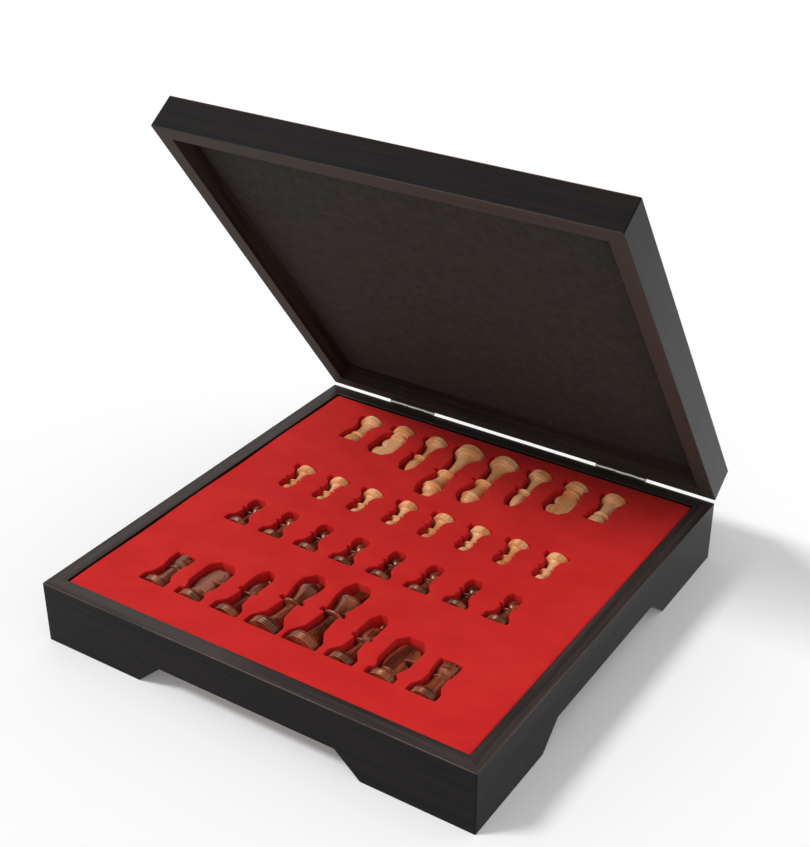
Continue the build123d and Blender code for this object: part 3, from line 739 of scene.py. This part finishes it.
coat(fibrous("panel_fibreboard", shade(150, 112, 76), shade(104, 76, 52)), "board_panel")


def to_lid(points):
    """Carries points from the closed lid's own place, in mm, to where the lid stands open."""
    tilt = radians(lid_turn)
    away, up = points[..., 1] - 1000 * hinge_line[1], points[..., 2]
    return np.stack([
        points[..., 0],
        1000 * hinge_line[1] + away * cos(tilt) + up * sin(tilt),
        1000 * hinge_line[2] - away * sin(tilt) + up * cos(tilt),
    ], -1)


def felted(name, deep, full):
    """Pressed felt: matted fibres in every direction, with paler fluff standing here and there."""
    finish, place = new_finish(
        name, Specular_IOR_Level=0.1, Sheen_Weight=0.08, Sheen_Roughness=0.6, Sheen_Tint=(0.8, 0.72, 0.68, 1)
    )
    mat = place.noise(2100.0, detail=4.0)
    mottle = place.noise(120.0, detail=5.0, roughness=0.65)
    fluff = place.noise((700.0, 2400.0, 1500.0), detail=3.0).step(0.6, 0.78)
    body = (0.55 * mottle + 0.45 * mat).step(0.36, 0.64).mix(deep, full)
    fluffy = (0.25 * fluff).mix(body, shade(86, 81, 75))
    return connect(finish, fluffy, 0.85 + 0.1 * mat, mat + 0.5 * mottle, 0.0002)


# The felt's face sinks by two crossing pairs of slow waves, which die out over the last 12 mm to its edges
half_felt, rows, glued, face = 185.7, 81, 17.96, 17.12
x, y = np.meshgrid(*[np.linspace(-half_felt, half_felt, rows)] * 2)
ripple = 0.07 * np.sin(x / 23 + 1.5 * np.sin(y / 61)) + 0.06 * np.sin(y / 17 + np.sin(x / 47))
held = np.clip((half_felt - np.maximum(np.abs(x), np.abs(y))) / 12, 0, 1)
lower = np.stack([x, y, face + 0.15 * (1 - held) - np.abs(ripple) * held * 0.6], -1)
upper = np.stack([x, y, np.full_like(x, glued)], -1)
rim = [np.concatenate([g[0], g[1:, -1], g[-1, -2::-1], g[-2:0:-1, 0]]) for g in (lower, upper)]
lining = make(
    "felt_lining",
    [
        (to_lid(lower), quads(rows, rows)),
        (to_lid(upper), quads(rows, rows)),
        (to_lid(np.array(rim)), quads(2, len(rim[0]), ring=True)),
    ],
    [felted("dark_felt", shade(29, 29, 26), shade(47, 47, 42))],
    "lid", ["lid_lining"], crease=60.0,
)

# ---------------------------------------------------------------- squares
# Thirty-two squares of mother-of-pearl sheet and thirty-two of walnut veneer, laid edge to edge on the panel
# and lacquered flush. The pearl is white with cloudy veins, and the walnut's grain runs across the board.


def pearly(name):
    """Mother-of-pearl under lacquer: white, with faint warm and blue clouds drawn out, and grey veins."""
    finish, place = new_finish(name, Coat_Weight=0.6, Coat_Roughness=0.04)
    place = lid_place(place)
    drift = place.noise((34.0, 21.0, 30.0), detail=3.0)
    push = drift.add("CombineXYZ", {0: 0.03 * drift, 1: 0.045 * drift})
    bent = place.add("VectorMath", {0: place, 1: push}, operation="ADD")
    veins = bent.noise((55.0, 120.0, 60.0), detail=5.0, roughness=0.6)
    line = 1 - (veins - 0.5).math("ABSOLUTE").step(0.0, 0.05)
    clouds = veins.step(0.32, 0.7).mix(shade(236, 238, 239), shade(252, 251, 249))
    tinted = (0.25 * drift.step(0.5, 0.75)).mix(clouds, shade(228, 234, 239))
    veined = (0.3 * line).mix(tinted, shade(210, 211, 211))
    return connect(finish, veined, 0.12 + 0.12 * veins, veins, 0.00004)


def veneered(name, dark, middle, light, turn=0.0, fineness=1.0):
    """Straight-grained veneer under lacquer: broad bands, fine streaks and open pores along the grain."""
    finish, place = new_finish(
        name, Specular_IOR_Level=0.3, Coat_Weight=0.2, Coat_Roughness=0.06
    )
    place = lid_place(place)
    if turn:
        place = place.add("Mapping", {"Vector": place, "Rotation": (0.0, 0.0, radians(turn))})
    broad = place.noise((5.0, 90.0 * fineness, 90.0), detail=3.0)
    streaks = place.noise((16.0, 520.0 * fineness, 500.0), detail=5.0, roughness=0.62)
    tone = 0.5 * broad + 0.5 * streaks
    colour = tone.add("ValToRGB", {0: tone}, stops=((0.32, dark), (0.5, middle), (0.68, light)))
    pores = place.noise((90.0, 2600.0, 2400.0), detail=2.0).step(0.58, 0.7)
    open_grain = (0.5 * pores).mix(colour, 0.4 * dark)
    return connect(finish, open_grain, 0.2 + 0.1 * streaks + 0.12 * pores, streaks - 0.5 * pores, 0.00005)


pearl = pearly("mother_of_pearl")
walnut = veneered("walnut_veneer", shade(64, 33, 25), shade(98, 54, 41), shade(126, 76, 57))
coat(pearl, "light_squares")
coat(walnut, "dark_squares")

# ---------------------------------------------------------------- rope stringing
# A narrow strip round the squares, made by gluing slanting slips of yellow boxwood between brown ones and
# slicing the block. Beside every square, a yellow or a red lozenge lies in the strip.

boxwood = veneered("boxwood_inlay", shade(180, 128, 68), shade(210, 162, 94), shade(230, 190, 128), 0.0, 2.0)
padauk = veneered("padauk_inlay", shade(110, 44, 32), shade(146, 66, 50), shade(172, 92, 72), 0.0, 2.0)
ebony = veneered("ebony_inlay", shade(24, 20, 19), shade(40, 33, 30), shade(66, 56, 50), 0.0, 2.0)
cartouche = veneered("walnut_inlay", shade(118, 75, 46), shade(152, 103, 65), shade(184, 133, 88), turn=38.0)
inlays = [walnut, boxwood, padauk, ebony, pearl, cartouche]
WALNUT, BOXWOOD, PADAUK, EBONY, PEARL, CARTOUCHE = range(6)
veneer_top, veneer_thickness = 23.0, 1.0


def inlay(name, tiles, node):
    """Cuts a strip of flat tiles that overlap as laid: each bit of it shows the last tile over it, and a tile
    with a frame shows only inside that frame. The strip is laid along all four sides of the board."""
    outlines = [np.array(points, float) for _, points, _ in tiles]
    area = [np.sum(line * np.roll(line[:, ::-1] * (1, -1), -1, axis=0)) for line in outlines]
    outlines = [line if turn > 0 else line[::-1] for line, turn in zip(outlines, area)]
    starts = np.cumsum([0] + [len(line) for line in outlines])
    rings = [list(range(a, b)) for a, b in zip(starts, starts[1:])]
    points, _, faces, _, _, owners = delaunay_2d_cdt(
        [Vector(p) for p in np.concatenate(outlines)], [], rings, 1, 1e-5
    )
    kept = [
        (face, [n for n in owner if tiles[n][2] is None or tiles[n][2] in owner])
        for face, owner in zip(faces, owners) if 0 in owner
    ]
    flat = np.array([(*p, veneer_top) for p in points])
    shells, numbers = [], []
    for quarter in range(4):
        c, s = ((1, 0), (0, 1), (-1, 0), (0, -1))[quarter]
        # A strip is drawn along the side nearest to -Y, with the distance from the middle counted outwards
        laid = np.stack([c * flat[:, 0] + s * flat[:, 1], s * flat[:, 0] - c * flat[:, 1], flat[:, 2]], -1)
        shells.append((to_lid(laid), [face for face, _ in kept]))
        numbers += [tiles[max(owner)][0] for _, owner in kept]
    piece = make(name, shells, inlays, "lid", [node], numbers=numbers)
    thick = piece.modifiers.new("thickness", "SOLIDIFY")
    thick.thickness, thick.offset = 0.001 * veneer_thickness, -1.0


def strip_tile(inner, outer):
    """The strip itself: from its inner to its outer edge, mitred at both ends."""
    return (WALNUT, [(-inner, inner), (inner, inner), (outer, outer), (-outer, outer)], None)


def slanting(colour, foot, head, inset):
    """A slip across the rope, kept clear of the strip's edges: where its foot and its head start and stop."""
    low, high = rope_inner + inset, rope_outer - inset
    return (colour, [(foot[0], low), (foot[1], low), (head[1], high), (head[0], high)], None)


rope_inner, rope_outer = 144.05, 148.45
square, pitch, slant, slip = 36.0, 1.8, 3.6, 0.62
tiles = [strip_tile(rope_inner, rope_outer)]
for number in range(-79, 79):
    at = number * pitch
    colour = BOXWOOD if number % 5 else PADAUK
    tiles.append(slanting(colour, (at + slant, at + slant + slip), (at, at + slip), 0.4))
for number, at in enumerate(np.arange(-3.5 * square, 3.6 * square, square)):
    colour = (BOXWOOD, PADAUK)[number % 2]
    tiles.append(slanting(colour, (at + 2.6, at + 5.4), (at - 2.4, at + 1.0), 0.3))
inlay("rope_inlay", tiles, "rope_stringing")

# ---------------------------------------------------------------- marquetry border
# Traditional tile marquetry: black hexagons with pearl darts round a nest of squares, rosettes of small
# squares, a brown cartouche, and a heart across each corner. Yellow lines outline them, and pearl triangles
# fill the gaps.

band_inner, band_outer, middle_line, reach = 155.05, 181.45, 168.2, 13.1
tiles = [(PADAUK, strip_tile(band_inner, band_outer)[1], None)]


def tile(colour, points, frame_tile=None):
    """Lays one tile and returns its number."""
    tiles.append((colour, points, frame_tile))
    return len(tiles) - 1


def diamond(at, out, size):
    """A square on its point, about a place, with the size as the distance from its middle to its points."""
    return [(at - size, out), (at, out - size), (at + size, out), (at, out + size)]


def hexagon(left, right, inset):
    """A long hexagon across the band, with a point at each end; inset shrinks it on all sides."""
    point, half = inset * 2**0.5, reach - inset
    left, right = left + point, right - point
    return [
        (left, middle_line), (left + half, middle_line - half), (right - half, middle_line - half),
        (right, middle_line), (right - half, middle_line + half), (left + half, middle_line + half),
    ]


def dart(at, out, along, across, length=10.4, width=2.5):
    """A kite with its blunt end at a place: its point lies along a direction, its widest part a third on."""
    start, way = np.array([at, out]), np.array([along, across]) / np.hypot(along, across)
    side = np.array([-way[1], way[0]]) * width
    tip, belly = start + way * length, start + way * length * 0.3
    return [start - side * 0.35, belly - side, tip, belly + side, start + side * 0.35]


def grown(points, by):
    """A tile's outline moved away from its middle, so that it shows as a thin edge round the next tile."""
    points = np.array(points)
    away = points - points.mean(0)
    return points + by * away / np.linalg.norm(away, axis=1)[:, None]


def edged_dart(*dart_place, frame_tile=None):
    """A pearl kite with a hairline of ebony round it."""
    shape = dart(*dart_place)
    tile(EBONY, grown(shape, 0.45), frame_tile)
    tile(PEARL, shape, frame_tile)


crossings = (-125.6, -62.4, -33.6, 28.8, 94.4, 123.9)
half_gap = 1.2
triangles = (WALNUT, 6.6, 0.0, 6.6), (EBONY, 3.3, 0.35, 4.7), (PEARL, 2.6, 0.7, 4.1)
for crossing in crossings:
    # The two gaps beside a crossing: a padauk square outlined in yellow and two pearl triangles, out and in
    for up in (1, -1):
        edge = middle_line + up * (reach - 0.1)
        corner = middle_line + up * reach / 2
        for side in (-1, 1):
            wing = crossing + side * 7.4
            for colour, half, base, tip in triangles:
                low, high = edge - up * base, edge - up * tip
                tile(colour, [(wing - half, low), (wing + half, low), (wing, high)])
        for colour, size in ((BOXWOOD, reach / 2 + 0.1), (PADAUK, reach / 2 - 0.45), (BOXWOOD, 0.75)):
            tile(colour, diamond(crossing, corner, size))


def outlined(shape_of, filling):
    """A shape with a double yellow outline: returns the number of its filling."""
    tile(BOXWOOD, shape_of(0.0))
    tile(WALNUT, shape_of(0.85))
    tile(BOXWOOD, shape_of(1.2))
    return tile(filling, shape_of(1.75))


straight = (-1, 0), (0, -1), (1, 0), (0, 1)
halfway = (0.5, 0.5), (0.5, -0.5), (-0.5, 0.5), (-0.5, -0.5)
for left, right in ((crossings[0], crossings[1]), (crossings[3], crossings[4])):
    left, right = left + half_gap, right - half_gap
    centre = (left + right) / 2
    black = outlined(lambda inset: hexagon(left, right, inset), EBONY)
    # Slips of yellow and brown run beside the nest of squares, and lie along the ends of the hexagon
    for number, size in enumerate((22.4, 19.9, 17.4, 14.9, 12.4)):
        tile((CARTOUCHE, BOXWOOD)[number % 2], diamond(centre, middle_line, size + 0.36), black)
        tile(EBONY, diamond(centre, middle_line, size), black)
    for end, side in ((left, 1), (right, -1)):
        for n, colour in enumerate((CARTOUCHE, PADAUK)):
            inner = end + side * (5.0 + 2.2 * n)
            for up in (14, -14):
                far = [(inner + side * 14, middle_line + up), (inner + side * 14.7, middle_line + up)]
                tile(colour, [(inner, middle_line), *far, (inner + side * 0.7, middle_line)], black)
        edged_dart(centre + side * -13.8, middle_line, -side, 0, frame_tile=black)
    nest = (
        (10.8, WALNUT), (10.5, BOXWOOD), (7.3, EBONY), (6.8, WALNUT), (5.3, BOXWOOD),
        (4.5, CARTOUCHE), (2.7, BOXWOOD), (1.9, WALNUT), (0.8, BOXWOOD),
    )
    for size, colour in nest:
        tile(colour, diamond(centre, middle_line, size), black)
    for along, up in (*straight, *halfway):
        tile(PADAUK, diamond(centre + 8.8 * along, middle_line + 8.8 * up, 0.7), black)

for left, right in ((crossings[1], crossings[2]), (crossings[4], crossings[5])):
    centre = (left + right) / 2
    ground = outlined(lambda inset: diamond(centre, middle_line, reach - inset * 2**0.5), CARTOUCHE)
    # A rosette: four squares on their points, in rings of black and brown round a yellow dot, with crumbs
    tile(BOXWOOD, diamond(centre, middle_line, 9.4), ground)
    for number, (along, up) in enumerate(straight):
        middle = (WALNUT, PADAUK)[number % 2]
        for size, colour in ((3.9, EBONY), (3.1, CARTOUCHE), (2.0, middle), (0.8, BOXWOOD)):
            tile(colour, diamond(centre + 4.5 * along, middle_line + 4.5 * up, size), ground)
    tile(EBONY, diamond(centre, middle_line, 1.1), ground)
    for along, up in halfway:
        tile(WALNUT, diamond(centre + 9.0 * along, middle_line + 9.0 * up, 0.9), ground)

left, right = crossings[2] + half_gap, crossings[3] - half_gap
centre = (left + right) / 2
brown = outlined(lambda inset: hexagon(left, right, inset), CARTOUCHE)
for side in (-1, 1):
    edged_dart(centre + side * 6.6, middle_line, side, 0, frame_tile=brown)
tile(EBONY, diamond(centre, middle_line, 2.7), brown)
tile(PEARL, diamond(centre, middle_line, 2.2), brown)


def heart(inset, end):
    """Half of a corner's heart, at one end of the strip: a pointed lobe, then the mitre to the corner."""
    point, half = inset * 2**0.5, reach - inset
    tip = (crossings[-1] if end > 0 else -crossings[0]) + half_gap + point
    low, high = middle_line - half, middle_line + half
    line = [(tip, middle_line), (tip + half, low), (low, low), (high, high), (tip + half, high)]
    return [(end * s, out) for s, out in line]


for end in (-1, 1):
    lobe = outlined(lambda inset: heart(inset, end), CARTOUCHE)
    edged_dart(end * 157.4, middle_line, -end, 0, frame_tile=lobe)
    tile(EBONY, diamond(end * 163.6, 163.8, 2.6), lobe)
    tile(PEARL, diamond(end * 163.6, 163.8, 2.1), lobe)
    edged_dart(end * 167.3, 167.3, end, 1, frame_tile=lobe)
inlay("marquetry_inlay", tiles, "marquetry_border")

# ---------------------------------------------------------------- field strips and outer strips
# Plain walnut strips on each side of the marquetry, mitred at the corners and glued to the panel. The outer
# ones, along the rails, are of a paler brown.

coat(walnut, "field_strips")
coat(veneered("outer_walnut", shade(108, 68, 52), shade(142, 96, 75), shade(168, 122, 98)), "outer_strips")

# ---------------------------------------------------------------- hinges
# Two pairs of thin nickel-plated steel leaves, rolled into knuckles round a pin, each held by six small
# countersunk screws in the back of the case. The plating is brushed along the leaf and dulled by fingers.


def plated(name, colour, roughness):
    """Nickel plating: fine brushing along X, dull smears, and darker specks where the plating is thin."""
    finish, place = new_finish(name, Metallic=1.0)
    brushed = place.noise((60.0, 5200.0, 5200.0), detail=3.0)
    smears = place.noise(160.0, detail=4.0)
    specks = place.noise(1500.0, detail=2.0).step(0.68, 0.8)
    body = smears.step(0.3, 0.7).mix(colour, 0.8 * colour)
    thin = (0.6 * specks).mix(body, shade(96, 82, 66))
    return connect(finish, thin, roughness + 0.16 * smears + 0.1 * brushed, brushed, 0.00004)


nickel = plated("nickel_plate", shade(206, 202, 194), 0.2)
for hand in ("left", "right"):
    coat(nickel, f"{hand}_hinge_base_leaf", f"{hand}_hinge_lid_leaf")
    coat(plated(f"{hand}_pin_steel", shade(190, 186, 178), 0.16), f"{hand}_hinge_pin")
coat(plated("screw_steel", shade(196, 184, 160), 0.26), "base_hinge_screws", "lid_hinge_screws")

# ---------------------------------------------------------------- stage, lamps and camera
# A white floor that keeps the box's shadow, an even white sky and one soft sun from the front left. The
# camera looks down on the right front corner of the box.


def seen_by(tree):
    """1 for rays that see a surface, straight, in gloss or through glass, and 0 for those that only light."""
    kinds = ("Camera", "Glossy", "Transmission")
    straight, in_gloss, through_glass = (Wire(tree).add("LightPath", {}, f"Is {kind} Ray") for kind in kinds)
    return (straight + in_gloss + through_glass).math("MINIMUM", 1.0)


ground = bpy.data.meshes.new("floor")
ground.from_pydata([(-9, -9, 0), (9, -9, 0), (9, 9, 0), (-9, 9, 0)], [], [(0, 1, 2, 3)])
floor = bpy.data.objects.new("floor", ground)
bpy.context.scene.collection.objects.link(floor)
floor.location.z = -0.0004
paper = new_finish(
    "white_floor", Base_Color=(0.9, 0.9, 0.9, 1), Roughness=1.0, Specular_IOR_Level=0, Emission_Strength=0.14
)[0]
white = seen_by(paper.node_tree).mix((0, 0, 0), (1, 1, 1))
paper.node_tree.links.new(white.socket, paper.node_tree.nodes["Principled BSDF"].inputs["Emission Color"])
ground.materials.append(paper)

world = bpy.data.worlds.new("studio")
bpy.context.scene.world = world
world.use_nodes = True
backdrop = world.node_tree.nodes["Background"]
backdrop.inputs["Color"].default_value = (1, 1, 1, 1)
strength = 0.55 + 0.45 * seen_by(world.node_tree)
world.node_tree.links.new(strength.socket, backdrop.inputs["Strength"])

lamp = bpy.data.lights.new("sun", "SUN")
lamp.energy, lamp.angle = 1.7, radians(14)
sun = bpy.data.objects.new("sun", lamp)
bpy.context.scene.collection.objects.link(sun)
sun.rotation_euler = (-Vector((-0.62, -0.5, 1.0))).to_track_quat("-Z", "Y").to_euler()

lens = bpy.data.cameras.new("camera")
camera = bpy.data.objects.new("camera", lens)
bpy.context.scene.collection.objects.link(camera)
camera.location = (0.5727, -0.8613, 0.7510)
aim = Vector((0.010, 0.004, 0.168))
camera.rotation_euler = (aim - camera.location).to_track_quat("-Z", "Y").to_euler()
lens.sensor_width, lens.lens = 36.0, 64.0
lens.clip_start, lens.clip_end = 0.02, 60.0
bpy.context.scene.camera = camera
bpy.context.scene.view_settings.view_transform = "Standard"
